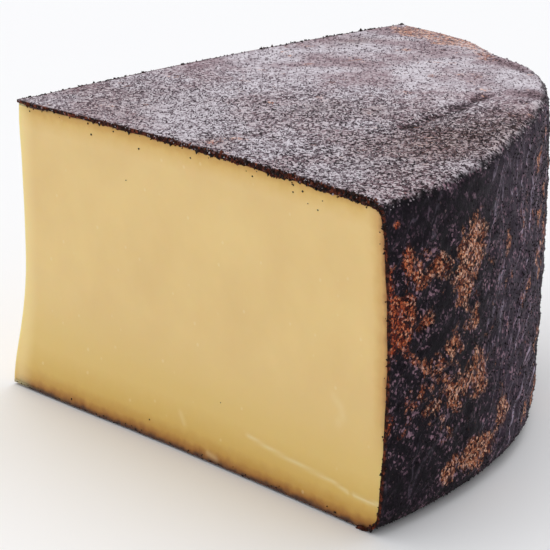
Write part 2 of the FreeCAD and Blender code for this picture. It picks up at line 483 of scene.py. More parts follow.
def buildPaste():
    columns, turns = paste["columns"], paste["turns"]
    under = np.full(turns + 1, paste["underRind"])
    under[0] = under[-1] = paste["underCut"]
    turnAt = np.linspace(0.0, cutRadians, turns + 1)
    level, share, rimReach, tops = pasteOutline(turnAt, under)
    points, faces = [], []

    def addSheet(row, column, turn):
        # a sheet of places, given by the row, column and turn of each, as an array of vertex numbers
        up = under[turn] + level[row] * (tops[column, turn] - 2 * under[turn])
        sheet = polarPlace(share[column] * rimReach[row, turn], turnAt[turn], up)
        start = sum(len(p) for p in points)
        points.append(sheet.reshape(-1, 3))
        return np.arange(start, start + sheet[..., 0].size).reshape(sheet.shape[:2])

    rows = np.arange(len(level))
    faceRows, faceColumns = np.meshgrid(rows, np.arange(columns + 1), indexing="ij")
    wallRows, wallTurns = np.meshgrid(rows, np.arange(1, turns), indexing="ij")
    capColumns, capTurns = np.meshgrid(np.arange(1, columns), np.arange(1, turns), indexing="ij")
    first = addSheet(faceRows, faceColumns, 0)
    second = addSheet(faceRows[:, 1:], faceColumns[:, 1:], turns)
    second = np.concatenate([first[:, :1], second], 1)
    wall = addSheet(wallRows, columns, wallTurns)
    wall = np.concatenate([first[:, -1:], wall, second[:, -1:]], 1)
    faces += gridFaces(first[:, ::-1]) + gridFaces(second) + gridFaces(wall[:, ::-1])
    for row in (0, len(level) - 1):
        cap = addSheet(row, capColumns, capTurns)
        cap = np.concatenate([first[row, 1:-1, None], cap, second[row, 1:-1, None]], 1)
        cap = np.concatenate([cap, wall[row][None, :]], 0)
        faces += gridFaces(cap)
        faces += [(first[row, 0], cap[0, k], cap[0, k + 1]) for k in range(turns)]
    points = np.concatenate(points)
    lift = np.zeros((len(points), 3))
    firstSide, secondSide = np.array([*firstOut, 0.0]), np.array([*secondOut, 0.0])
    lift[first.ravel()] = firstSide
    lift[second[:, 1:].ravel()] = secondSide
    lift[first[:, 0]] = (firstSide + secondSide) / np.linalg.norm(firstSide + secondSide)
    points -= lift * paste["faceInset"]
    obj = meshObject("paste", points, faces)
    turnOutwards(obj)
    topAbove, rimOut = np.zeros(len(points)), np.full(len(points), radius)
    for sheet, turn in ((first, 0), (second, turns)):
        topAbove[sheet.ravel()] = np.broadcast_to(tops[:, turn], sheet.shape).ravel()
        rimOut[sheet.ravel()] = np.repeat(rimReach[:, turn] + under[turn], columns + 1)
    describePaste(obj, points, lift, topAbove, rimOut)
    smoothFaces(obj, paste["sharpEdge"])
    return obj


def describePaste(obj, points, lift, topAbove, rimOut):
    # what the relief, the finish and the loose crumbs read at each place of the paste, in mm
    fromAxis = np.hypot(points[:, 0] - axisX, points[:, 1] - axisY)
    onFirst = np.arctan2(points[:, 1] - axisY, points[:, 0] - axisX) < 0.1
    x, up, belowTop = fromAxis / mm, points[:, 2] / mm, (topAbove - points[:, 2]) / mm
    carved, scuffed = np.zeros(len(points)), np.zeros(len(points))
    for line, width, depth, pale in wireMarks.values():
        mark = bump(lineDistance(line, x, up), width) * onFirst
        carved += depth * mm * mark
        scuffed = np.maximum(scuffed, pale * mark)
    onCut = np.linalg.norm(lift, axis=1) > 0.5
    # crumbs hang under the rind, more towards the rim, and lie in clumps along the foot
    hanging = bump(belowTop - 0.5, 1.6) * (0.15 + 0.85 * smoothstep(x, 20.0, 150.0))
    clumps = smoothstep(slowNoise(points, 14 * mm, 61), -0.6, 0.9)
    standing = (0.3 + 0.8 * clumps) * bump(up - 0.4, 1.1) + 0.35 * bump(rimOut / mm - x - 0.5, 1.2)
    setAttributes(obj, {
        "lift": lift, "belowTop": belowTop, "aboveBase": up, "insideRind": (rimOut - fromAxis) / mm,
        "reach": x, "carved": carved, "scuffed": scuffed, "strewnFace": onCut * (hanging + standing),
        "relief": onCut * smoothstep(rimOut / mm - x, 1.0, 4.0)})


pastePiece = buildPaste()
print(f"paste: {len(pastePiece.data.vertices)} places, {len(pastePiece.data.polygons)} faces")

# marks on the side: degrees round from the first cut, mm up, half width and height in mm, strength
barePatches = {
    "upperTongue": (13.8, 76.5, 7.0, 8.5, 1.4),
    "middleTongue": (11.5, 63, 4.5, 7.0, 0.9),
    "leftStreak": (8.0, 74, 5.0, 4.5, 0.85),
    "lowStreak": (5.0, 71, 5.0, 4.0, 0.7),
    "cutSpot": (1.3, 88, 2.2, 2.2, 1.3),
    "cutSmear": (2.8, 78, 2.5, 4.5, 1.1),
    "cutPatch": (2.2, 63, 5.0, 8.0, 0.95),
    "farFlake": (23.2, 68, 3.5, 4.5, 0.75),
    "farSpot": (18.0, 66, 2.3, 2.8, 0.6),
    "waistPatch": (15.5, 38, 7.0, 5.0, 0.8),
    "waistSpot": (15.0, 29, 2.8, 2.6, 0.7),
    "waistNear": (10.5, 34, 6.5, 5.0, 0.75),
    "footWide": (15.5, 11, 8.0, 4.2, 1.25),
    "footNear": (10.0, 9.5, 5.0, 4.5, 1.15),
    "footFar": (22.8, 18, 4.5, 4.5, 0.85),
    "cutLine": (0.6, 66, 2.2, 22.0, 0.6),
    "dustyMiddle": (11.0, 42, 20.0, 20.0, 0.52),
}
# smooth, nearly black stretches of the side, in the same terms
calmSpots = {
    "underRim": (9.0, 90, 45.0, 8.0, 1.0),
    "nearFoot": (3.0, 8, 16.0, 12.0, 0.9),
    "middle": (9.0, 56, 6.0, 5.0, 0.6),
}
# marks on top: mm from the wheel's centre along the first cut and across it, half sizes, strength
brownStreaks = {
    "nearStreak": (80, 52, 6.0, 9.0, 0.7),
    "sideStreak": (95, 61, 6.0, 5.0, 0.7),
    "backStreak": (17, 128, 4.0, 6.0, 0.8),
    "cutStreak": (87, 8, 7.0, 4.0, 0.5),
    "rimWarm": (136, 58, 16.0, 32.0, 0.9),
    "centreWarm": (26, 18, 24.0, 20.0, 0.4),
}
# paler spots, partly thicker bloom and partly painted sheen, as the light band in from the back rim and the
# broad sheen over the back, in the same terms
paleAndSheenSpots = {
    "backLeft": (25, 138, 5.0, 4.0, 0.7),
    "middle": (65, 102, 4.0, 4.0, 0.7),
    "middleRight": (73, 110, 6.0, 4.0, 0.7),
    "backRight": (68, 143, 6.0, 5.0, 0.7),
    "rim": (123, 96, 4.0, 5.0, 0.8),
    "backRim": (60, 148, 14.0, 8.0, 1.0),
    "backField": (60, 110, 45.0, 40.0, 0.3),
    "nearField": (50, 28, 34.0, 28.0, 0.6),
}
# painted shade where the top rolls over the rim, with a few darker patches, in the same terms
shadeAndDarkSpots = {
    "rimShade": (138, 74, 16.0, 30.0, 0.75),
    "rimBand": (114, 109, 6.0, 5.0, 0.7),
    "nearCorner": (135, 25, 30.0, 25.0, 0.1),
    "backCentre": (26, 31, 16.0, 14.0, 0.35),
    "backField": (60, 125, 50.0, 30.0, 0.1),
}
# lines on top: corners in mm as above, half width and depth in mm
topCreases = {
    "furrow": ([(115, 54), (112, 77), (109, 85), (105, 99)], 2.3, 0.9),
    "ridge": ([(127, 84), (124, 96), (122, 106)], 1.5, -0.6),
    "rimFold": ([(120, 100), (117, 112), (108, 121)], 1.4, 0.5),
    "backFold": ([(60, 146), (72, 138), (92, 131)], 2.0, 0.5),
}
crust = {
    "clothLean": 52.0,              # degrees that the pressing cloth's wrinkles lean on the side
    "wrinkleLength": 38 * mm,
    "wrinkleSpacing": 5.5 * mm,
    "wrinkleSway": 5 * mm,
    "sunk": 0.3 * mm,               # the outer skin lies this far below the solid's
    "lumps": 0.35 * mm,             # depth of the slow lumps on the side
    "rubbedTurn": (77.5, 9.0),      # the rubbed stretch of the far rim: degrees round and half width,
    "rubbedReach": (159 * mm, 9 * mm),  # and how far out and half width
}


def markField(marks, across, up, unit):
    # the strongest of several soft oval marks at each place
    field = np.zeros(len(across))
    for x, y, halfX, halfY, strength in marks.values():
        distance = np.hypot((across - x) * unit / halfX, (up - y) / halfY)
        field = np.maximum(field, strength * np.exp(-distance ** 2 * 0.7))
    return field


def sideMarks(points, turn, level, fromAxis, sideways):
    # rubbed patches, calm stretches and the places of the cloth's wrinkles
    degrees = np.degrees(turn)
    spot = (degrees, level / mm, radius / mm * math.radians(1.0))
    bare = markField(barePatches, *spot) * sideways
    drift = slowNoise(points, 21 * mm, 8) + 0.6 * slowNoise(points, 9 * mm, 9)
    bare = np.maximum(bare, smoothstep(degrees, 26.0, 34.0) * sideways * smoothstep(drift, 0.2, 1.1))
    farTurn, farWide = crust["rubbedTurn"]
    farReach, farDeep = crust["rubbedReach"]
    rubbed = bump(degrees - farTurn, farWide) * bump(fromAxis - farReach, farDeep)
    bare = np.maximum(bare, 2.0 * (rubbed * smoothstep(level / height, 0.84, 0.96)))
    calm = markField(calmSpots, *spot) * sideways
    lean = math.radians(crust["clothLean"])
    sway = crust["wrinkleSway"] * slowNoise(points, 34 * mm, 51)
    along = turn * radius * math.cos(lean) + level * math.sin(lean)
    across = level * math.cos(lean) - turn * radius * math.sin(lean) + sway
    # wrinkled also sets where the pale threads and the veil, partly painted rim light, lie
    wrinkled = (0.12 + 0.88 * smoothstep(degrees, 13, 26)) * (1.0 - 0.7 * smoothstep(degrees, 36, 52))
    cloth = np.stack([along / crust["wrinkleLength"], across / crust["wrinkleSpacing"], 0 * turn], -1)
    return {
        "bare": bare, "calm": np.clip(1.3 * calm, 0.0, 1.0), "cloth": cloth,
        "ruddy": bump(degrees, 5.0), "wrinkled": sideways * wrinkled}


def topMarks(points, x, y, fromAxis, upward):
    # streaks, pale spots that are partly painted sheen, painted shade along the rim and in the creases with
    # a painted highlight on the raised ridge, and darker patches; grains are less sharp where the bloom is
    # thick
    pale, paintedShadeAndDark, streak = [
        markField(marks, x, y, 1.0) * upward for marks in (paleAndSheenSpots, shadeAndDarkSpots, brownStreaks)]
    wander = 1.2 * slowNoise(points, 8 * mm, 31)
    folds = []
    for line, width, depth in topCreases.values():
        crease = bump(lineDistance(line, x + wander, y), width) * upward
        folds.append(depth * mm * crease)
        # creases are darkened with painted shade, and the raised ridge is lightened as a painted highlight
        if depth > 0.0:
            paintedShadeAndDark = np.maximum(paintedShadeAndDark, 1.3 * depth * crease)
        else:
            pale = np.maximum(pale, crease)
    sharpness = 1.0 - 0.84 * smoothstep(y - 0.35 * x, 20.0, 75.0) * upward
    sharpness *= 1.0 - 0.4 * (1.0 - smoothstep(fromAxis / mm, 25.0, 75.0)) * upward
    return {"pale": pale, "paintedShadeAndDark": paintedShadeAndDark, "streak": streak, "sharpness": sharpness}, folds


def describeRind():
    # what the relief, the finish and the loose grounds read at each place of the crust
    mesh = rindPiece.data
    points = readVectors(mesh.vertices, "co")
    lift = readVectors(mesh.attributes["lift"].data, "vector")
    x, y, level = points[:, 0] - axisX, points[:, 1] - axisY, points[:, 2]
    fromAxis = np.hypot(x, y)
    turn = np.arctan2(y, x)
    upward = smoothstep(lift[:, 2] + 0.1 * slowNoise(points, 5 * mm, 5), 0.62, 0.95)
    sideways = 1.0 - smoothstep(np.abs(lift[:, 2]), 0.3, 0.7)
    side = sideMarks(points, turn, level, fromAxis, sideways)
    top, folds = topMarks(points, x / mm, y / mm, fromAxis, upward)
    # the relief fades where the crust is calm, towards the cuts and under the wheel
    fromCut = np.minimum(y, x * math.sin(cutRadians) - y * math.cos(cutRadians))
    relief = (0.4 + 0.6 * top["sharpness"]) * (1.0 - 0.45 * side["calm"])
    relief = relief * (1.0 - 0.75 * bump(np.maximum(fromCut, 0.0), 3.5 * mm))
    relief = relief * (1.0 - 0.5 * (lift[:, 2] < -0.5))
    carved = (crust["sunk"] + sideways * crust["lumps"] * slowNoise(points, 7 * mm, 21)) * relief
    for fold in folds:
        carved += fold
    # crumbs cling along the cut edges, most of all at the top and away from the wheel's centre
    onEdge = np.zeros(len(points))
    mesh.attributes["cutEdge"].data.foreach_get("value", onEdge)
    clumps = 0.25 + 1.5 * smoothstep(slowNoise(points, 11 * mm, 41), -0.3, 1.0)
    atTop = 0.25 + 0.75 * smoothstep(level / mm, 80.0, 92.0)
    outward = np.maximum(smoothstep(x / mm, 40.0, 150.0), smoothstep(y / mm, 20.0, 60.0))
    clinging = clumps * onEdge * bump(fromCut, 4 * mm) * atTop * (0.35 + 0.65 * outward)
    # loose grounds lie less thickly on bloom, on rubbed patches and on calm stretches
    outer = np.linalg.norm(lift, axis=1) > 0.5
    covered = (0.3 + 0.7 * top["sharpness"]) * (1.0 - 0.75 * np.clip(side["bare"], 0.0, 1.0))
    covered = covered * (1.0 - 0.6 * side["calm"])
    setAttributes(rindPiece, {
        **side, **top, "upward": upward, "relief": relief, "carved": carved, "strewnCut": clinging,
        "strewnTop": outer * smoothstep(lift[:, 2], 0.3, 0.6) * covered,
        "strewnSide": outer * smoothstep(-lift[:, 2], -0.4, -0.2) * covered})


describeRind()
print("marks laid out")


def newTree(name, values):
    # a geometry tree with one named input for each value a user would change, what adds a node to it,
    # and its inputs
    tree = bpy.data.node_groups.new(name, "GeometryNodeTree")
    tree.interface.new_socket(name="Geometry", in_out="INPUT", socket_type="NodeSocketGeometry")
    for key, value in values.items():
        kind = "Float" if isinstance(value, float) else "Int" if isinstance(value, int) else "Material"
        tree.interface.new_socket(name=key, in_out="INPUT", socket_type="NodeSocket" + kind)
    tree.interface.new_socket(name="Geometry", in_out="OUTPUT", socket_type="NodeSocketGeometry")
    source = tree.nodes.new("NodeGroupInput")
    return tree, partial(addNode, tree), {socket.name: socket for socket in source.outputs}


def closeTree(tree, add, geometry, finish):
    real = add("GeometryNodeRealizeInstances", [geometry])
    finished = add("GeometryNodeSetMaterial", {"Geometry": real, "Material": finish})
    tree.links.new(finished, tree.nodes.new("NodeGroupOutput").inputs["Geometry"])
    return tree


def runTree(obj, tree, values):
    # runs the tree on the object and keeps the result as a plain mesh
    modifier = obj.modifiers.new(tree.name, "NODES")
    modifier.node_group = tree
    for item in tree.interface.items_tree:
        if item.in_out == "INPUT" and item.name in values:
            modifier[item.identifier] = values[item.name]
    obj.update_tag()
    graph = bpy.context.evaluated_depsgraph_get()
    mesh = bpy.data.meshes.new_from_object(obj.evaluated_get(graph), depsgraph=graph)
    obj.modifiers.remove(modifier)
    old = obj.data
    obj.data = mesh
    bpy.data.meshes.remove(old)
    mesh.name = obj.name


def threadLines(add, cloth, roughness, width, strength):
    # thin lines where a noise in the cloth's places crosses its middle value
    line = add(noise, {"Vector": cloth, "Scale": 1.0, "Detail": 1.0, "Roughness": roughness})
    line = add(maths, [line, 0.5], operation="SUBTRACT")
    line = add(maths, [line], operation="ABSOLUTE")
    return add(ranged, [line, 0.0, width, strength, 0.0], interpolation_type="SMOOTHSTEP")


def reliefTree(name, values):
    # sinks the skin along "lift": grain, slow swells and long narrow wrinkles in the "cloth" places
    tree, add, given = newTree(name, values)
    position = add("GeometryNodeInputPosition")
    lift, cloth = [add(named, {"Name": key}, data_type="FLOAT_VECTOR") for key in ("lift", "cloth")]
    wrinkled, carved, relief = [
        add(named, {"Name": key}, data_type="FLOAT") for key in ("wrinkled", "carved", "relief")]
    sunk = 0.0
    for layer, detail, roughness in (("grain", 2.0, 0.6), ("swell", 1.0, 0.5)):
        wave = add(noise, {
            "Vector": position, "Scale": given[layer + "Scale"], "Detail": detail, "Roughness": roughness})
        wave = add(maths, [wave, 0.5], operation="SUBTRACT")
        wave = add(maths, [wave, given[layer + "Depth"]], operation="MULTIPLY")
        sunk = add(maths, [sunk, wave], operation="ADD")
    fold = threadLines(add, cloth, 0.4, 0.07, 1.0)
    for share in (wrinkled, given["wrinkleDepth"]):
        fold = add(maths, [fold, share], operation="MULTIPLY")
    for operation, value in (("SUBTRACT", fold), ("MULTIPLY", relief), ("ADD", carved), ("MULTIPLY", -1.0)):
        sunk = add(maths, [sunk, value], operation=operation)
    inward = add("ShaderNodeVectorMath", {0: lift, "Scale": sunk}, operation="SCALE")
    moved = add("GeometryNodeSetPosition", {"Geometry": given["Geometry"], "Offset": inward})
    return closeTree(tree, add, moved, given["finish"])


def scatterTree(name, where, values):
    # angular grounds spread over a skin, each turned, sized and tinted by its own fixed random value
    tree, add, given = newTree(name, values)
    share = add(named, {"Name": where}, data_type="FLOAT")
    density = add(maths, [share, given["perSquareMetre"]], operation="MULTIPLY")
    places = add("GeometryNodeDistributePointsOnFaces", {
        "Mesh": given["Geometry"], "Density": density, "Seed": given["seed"]}, distribute_method="RANDOM")
    ball = add("GeometryNodeMeshUVSphere", {"Segments": 4, "Rings": 2, "Radius": 0.5})
    turn, shape = [
        add(random, {"Min": least, "Max": most, "Seed": given["seed"]}, data_type="FLOAT_VECTOR")
        for least, most in (((0.0, 0.0, 0.0), (6.28, 6.28, 6.28)), ((0.6, 0.6, 0.4), (1.3, 1.0, 0.8)))]
    limits = {2: given["smallest"], 3: given["largest"], "Seed": given["seed"]}
    size = add(random, limits, 1, data_type="FLOAT")
    scale = add("ShaderNodeVectorMath", {0: shape, "Scale": size}, operation="SCALE")
    placed = add("GeometryNodeInstanceOnPoints", {
        "Points": places, "Instance": ball, "Rotation": turn, "Scale": scale})
    tint = add(random, {"Seed": 77}, 1, data_type="FLOAT")
    tinted = add("GeometryNodeStoreNamedAttribute", {
        "Geometry": placed, "Name": "tint", "Value": tint}, data_type="FLOAT", domain="INSTANCE")
    return closeTree(tree, add, tinted, given["finish"])


def newMaterial(name):
    # the material, what adds a node to it, and what fills its shader's inputs
    material = bpy.data.materials.new(name)
    material.use_nodes = True
    tree = material.node_tree
    shader = next(n for n in tree.nodes if n.type == "BSDF_PRINCIPLED")
    return material, partial(addNode, tree), partial(fillInputs, tree, shader)


def readSurface(add, patterns, layers):
    # what a finish reads at each place, by name: noise patterns, of a size in mm, a detail and a
    # roughness each, and the numbers that were laid out over the piece
    read = {"place": add("ShaderNodeTexCoord", out="Object")}
    for name, (size, detail, roughness) in patterns.items():
        read[name] = add(noise, {
            "Vector": read["place"], "Scale": perMetre(size), "Detail": detail, "Roughness": roughness})
    for name in layers:
        read[name] = add(attribute, out="Fac", attribute_name=name)
    return read


pasteLook = {
    "patterns": {
        "curd": (3.85, 4.0, 0.5),
        "cloud": (22.2, 3.0, 0.5),
    },
    "crystals": 6.67,       # mm between the pale specks
    "body": [(0.3, "#EDCA86"), (0.7, "#F4D38D")],
    "roughness": 0.5,
    "lightDepth": 0.004,    # metres that light goes in under the skin
    "bumps": 0.4 * mm,
}
# how the paste darkens on the way to its edges: what tells the way in mm, the length of the colour
# ramp, where the ramp gives way to the body, and the ramp
pasteEdges = {
    "underTop": ("belowTop", 10.0, (3.0, 9.0), [
        (0.0, "#451D06"), (0.08, "#A0692A"), (0.18, "#D6A452"), (0.45, "#E4BA66"), (1.0, "#ECC77E")]),
    "besideRind": ("insideRind", 7.0, (4.0, 9.0), [
        (0.0, "#421404"), (0.2, "#B07A3E"), (0.45, "#DDB068"), (0.8, "#E7C078"), (1.0, "#EDC984")]),
    # darker and yellower towards the foot, and near black right at it
    "aboveFoot": ("aboveBase", 40.0, (20.0, 40.0), [
        (0.005, "#170600"), (0.03, "#4E2406"), (0.06, "#A86E24"), (0.11, "#D0A048"), (0.2, "#E3BD64"),
        (0.4, "#ECCA7A"), (1.0, "#EECD88")]),
}


def pasteFinish():
    # cut with a wire and left bare: moist, faintly waxy paste that lets light in under its skin,
    # browned where the coffee has bled in next to the rind above and beside it, a little darker for some mm
    # below the top, and darker towards the foot
    material, add, fill = newMaterial("cheddar_paste")
    layers = ["belowTop", "insideRind", "aboveBase", "reach", "scuffed"]
    read = readSurface(add, pasteLook["patterns"], layers)
    shift = add(ranged, {"Value": read["curd"], "To Min": -1.4, "To Max": 1.4})
    colour = add(ramp, [read["cloud"]], stops=pasteLook["body"])
    for name, length, (fadeStart, fadeEnd), stops in pasteEdges.values():
        way = add(maths, [read[name], shift], operation="ADD")
        along = add(maths, [way, length], operation="DIVIDE")
        edge = add(ramp, [along], stops=stops)
        near = add(ranged, [way, fadeStart, fadeEnd, 1.0, 0.0])
        colour = add(mix, {0: near, 6: colour, 7: edge}, 2, data_type="RGBA")
    # a painted glow stands for the light that shines through the thin edge where the cuts meet, and
    # crystals and wire marks are paler
    paintedGlow = add(ranged, [read["reach"], 0.5, 8.0, 0.6, 0.0], interpolation_type="SMOOTHSTEP")
    specks = add(cells, {"Vector": read["place"], "Scale": perMetre(pasteLook["crystals"])})
    specks = add(ranged, [specks, 0.04, 0.12, 0.22, 0.0], interpolation_type="SMOOTHSTEP")
    scuffs = add(maths, [read["scuffed"], 0.5], operation="MULTIPLY")
    for share, light in ((paintedGlow, "#FFE8A4"), (specks, "#FFEFC4"), (scuffs, "#FFF0C0")):
        colour = add(mix, {0: share, 6: colour, 7: light}, 2, data_type="RGBA")
    bumps = {"Strength": 0.25, "Distance": pasteLook["bumps"], "Height": read["curd"]}
    fill({
        "Base Color": colour, "Roughness": pasteLook["roughness"], "Normal": add("ShaderNodeBump", bumps),
        "Subsurface Weight": 0.35, "Subsurface Radius": (1.0, 0.6, 0.25),
        "Subsurface Scale": pasteLook["lightDepth"]})
    return material


rindLook = {
    "patterns": {
        "grit": (1.11, 4.0, 0.7),
        "cloud": (5.26, 6.0, 0.72),
        "slow": (25.0, 4.0, 0.6),
        "patchy": (9.09, 5.0, 0.7),
    },
    "grains": 0.77,         # mm across the single grains of ground coffee
    "net": 1.0,             # mm across the meshes of the dark net in the rubbed patches
    "roughness": 0.6,
    "bumps": 0.6 * mm,
    # the top's light colours are partly bloom and partly a painted sheen
    "filmAndSheen": [
        (0.4, "#241A20"), (0.6, "#5C4E56"), (0.74, "#8B7D85"), (0.88, "#AEA2AA"), (1.0, "#D4CDD4")],
    "warmFilmAndSheen": [
        (0.4, "#23161A"), (0.6, "#5A434A"), (0.74, "#856D74"), (0.88, "#A6939A"), (1.0, "#C9BCC1")],
    "streaks": [(0.0, "#2C1710"), (0.5, "#5E3A2C"), (1.0, "#94705E")],
    "side": [
        (0.4, "#040206"), (0.55, "#0D080F"), (0.64, "#1C131C"), (0.74, "#46343F"), (0.84, "#806A74")],
    # veil and threads: pale over the cloth's wrinkles, partly painted rim light
    "veilAndRimLight": "#5E4D60",
    "threadsAndRimLight": "#AA9BAE",
    "dust": "#967582",
    "rubbed": [
        (0.25, "#1A0B0A"), (0.44, "#5A2619"), (0.58, "#A05838"), (0.72, "#CC8A66"), (0.88, "#E8B99E")],
    "ruddy": [
        (0.25, "#180606"), (0.44, "#4E170E"), (0.6, "#94391F"), (0.76, "#C06034"), (0.9, "#DA926C")],
    "cutEdge": [(0.0, "#140705"), (0.5, "#2C110A"), (0.8, "#552416"), (1.0, "#7A3A22")],
}


def topBloomAndSheen(add, read):
    # dark grains showing through a film of bloom that is partly a painted sheen, paler in places, darker
    # under the painted shade, with warm and brown streaks
    speckle, clump = [
        add(maths, [read[pattern], 0.5], operation="SUBTRACT") for pattern in ("grains", "cloud")]
    speckle, clump = [
        add(maths, [part, read["sharpness"]], operation="MULTIPLY") for part in (speckle, clump)]
    shade = 0.11
    for part, weight in (
            (speckle, 0.95), (read["grit"], 0.75), (read["slow"], 0.5), (read["cloud"], 0.25), (clump, 1.0),
            (read["pale"], 0.25), (read["paintedShadeAndDark"], -0.3)):
        shade = add(maths, [part, weight, shade], operation="MULTIPLY_ADD")
    filmAndSheen, warmFilmAndSheen = [add(ramp, [shade], stops=rindLook[name]) for name in ("filmAndSheen", "warmFilmAndSheen")]
    brown = add(ramp, [read["grains"]], stops=rindLook["streaks"])
    warmth = add(ranged, [read["slow"], 0.58, 0.4], interpolation_type="SMOOTHSTEP")
    streaks = add(maths, [read["streak"], read["cloud"]], operation="MULTIPLY")
    for share, layer in ((warmth, warmFilmAndSheen), (streaks, brown)):
        filmAndSheen = add(mix, {0: share, 6: filmAndSheen, 7: layer}, 2, data_type="RGBA")
    return filmAndSheen


def darkSide(add, read):
    # almost black, purple where the dust is thicker, with the pale broken threads of the cloth and a purple
    # veil over its wrinkles, both partly painted rim light, strongest on the wrinkled stretch where the
    # side turns away from the camera
    dusk = add(maths, [read["cloud"], 0.8], operation="MULTIPLY")
    dusk = add(maths, [read["grains"], 0.3, dusk], operation="MULTIPLY_ADD")
    side = add(ramp, [dusk], stops=rindLook["side"])
    cloth = add(attribute, out="Vector", attribute_name="cloth")
    threadAndRimLight = threadLines(add, cloth, 0.5, 0.016, 1.6)
    gaps = add(ranged, [read["cloud"], 0.42, 0.62, 0.05, 0.8])
    dusty = add(ranged, [read["grains"], 0.74, 0.92])
    clouded = add(ranged, [read["cloud"], 0.45, 0.6])
    rough = add(maths, [1.0, read["calm"]], operation="SUBTRACT")
    for name, factors in (
            ("veilAndRimLight", (read["wrinkled"], read["cloud"], 0.6)), ("threadsAndRimLight", (threadAndRimLight, gaps, read["wrinkled"])),
            ("dust", (dusty, clouded, rough))):
        share = add(maths, factors[:2], operation="MULTIPLY")
        share = add(maths, [share, factors[2]], operation="MULTIPLY")
        side = add(mix, {0: share, 6: side, 7: rindLook[name]}, 2, data_type="RGBA")
    return side


def rubbedPatches(add, read):
    # where the crust is rubbed bare: peach and orange flecks in a dark red-brown net, with a broken
    # edge; gives their colour and where they lie
    broken = read["bare"]
    for part, weight in ((read["patchy"], 3.2), (read["calm"], -0.5)):
        broken = add(maths, [part, weight, broken], operation="MULTIPLY_ADD")
    worn = add(ranged, [broken, 1.92, 2.25], interpolation_type="SMOOTHSTEP")
    net = add(ranged, [read["net"], 0.03, 0.18, 0.25, 1.0])
    worn = add(maths, [worn, net], operation="MULTIPLY")
    fleck = add(maths, [read["grains"], 0.65], operation="MULTIPLY")
    fleck = add(maths, [read["grit"], 0.5, fleck], operation="MULTIPLY_ADD")
    peach, orange = [add(ramp, [fleck], stops=rindLook[name]) for name in ("rubbed", "ruddy")]
    return add(mix, {0: read["ruddy"], 6: peach, 7: orange}, 2, data_type="RGBA"), worn


def rindFinish():
    # ground coffee pressed into the rind with oil, then dried with a pale bloom: dark, dull grains
    # under a dusty mauve film on top that is partly a painted sheen, nearly black and a little oily down
    # the side, and rubbed through to the orange-brown rind in patches
    material, add, fill = newMaterial("coffee_rubbed_rind")
    layers = [
        "sharpness", "pale", "paintedShadeAndDark", "streak", "wrinkled", "calm", "upward", "bare", "ruddy", "cutEdge"]
    read = readSurface(add, rindLook["patterns"], layers)
    grains, net = [
        {"Vector": read["place"], "Scale": perMetre(rindLook[name])} for name in ("grains", "net")]
    read["grains"] = add("ShaderNodeSeparateColor", [add(cells, grains, "Color")])
    read["net"] = add(cells, net, feature="DISTANCE_TO_EDGE")
    patches, worn = rubbedPatches(add, read)
    crumbs = add(ramp, [read["grains"]], stops=rindLook["cutEdge"])
    colour = darkSide(add, read)
    for share, layer in ((read["upward"], topBloomAndSheen(add, read)), (worn, patches), (read["cutEdge"], crumbs)):
        colour = add(mix, {0: share, 6: colour, 7: layer}, 2, data_type="RGBA")
    lumps = add(maths, [read["grains"], 0.4, read["grit"]], operation="MULTIPLY_ADD")
    strength = add(ranged, [read["sharpness"], 0.2, 1.0, 0.2, 0.7])
    bumps = {"Strength": strength, "Distance": rindLook["bumps"], "Height": lumps}
    fill({
        "Base Color": colour, "Roughness": rindLook["roughness"], "Specular IOR Level": 0.08,
        "Normal": add("ShaderNodeBump", bumps)})
    return material


def groundsFinish(name, stops):
    # loose bits of roasted coffee: angular, dull, each of its own shade, and more alike where
    # bloom has grown over them
    material, add, fill = newMaterial(name)
    read = readSurface(add, rindLook["patterns"], ["tint", "sharpness", "paintedShadeAndDark", "pale"])
    shade = add(maths, [read["tint"], read["cloud"]], operation="ADD")
    shade = add(maths, [shade, 1.0], operation="SUBTRACT")
    shade = add(maths, [shade, read["sharpness"], 0.5], operation="MULTIPLY_ADD")
    # the grounds follow the crust's painted shade and its paler spots, which are partly painted sheen
    for layer, weight in (("paintedShadeAndDark", -0.4), ("pale", 0.2)):
        shade = add(maths, [read[layer], weight, shade], operation="MULTIPLY_ADD")
    colour = add(ramp, [shade], stops=stops)
    fill({"Base Color": colour, "Roughness": rindLook["roughness"], "Specular IOR Level": 0.2})
    return material


rindMaterial = rindFinish()
pasteMaterial = pasteFinish()
rindRelief = {
    "grainScale": perMetre(1.11),
    "grainDepth": 0.6 * mm,
    "swellScale": perMetre(7.14),
    "swellDepth": 0.7 * mm,
    "wrinkleDepth": 0.18 * mm,
    "finish": rindMaterial,
}
runTree(rindPiece, reliefTree("rindRelief", rindRelief), rindRelief)
smoothFaces(rindPiece, rind["sharpEdge"])
pasteRelief = {
    "grainScale": perMetre(2.38),
    "grainDepth": 0.1 * mm,
    "swellScale": perMetre(26.3),
    "swellDepth": 0.5 * mm,
    "wrinkleDepth": 0.0,      # a cut face has none
    "finish": pasteMaterial,
}
runTree(pastePiece, reliefTree("pasteRelief", pasteRelief), pasteRelief)
smoothFaces(pastePiece, paste["sharpEdge"])
print("relief done")

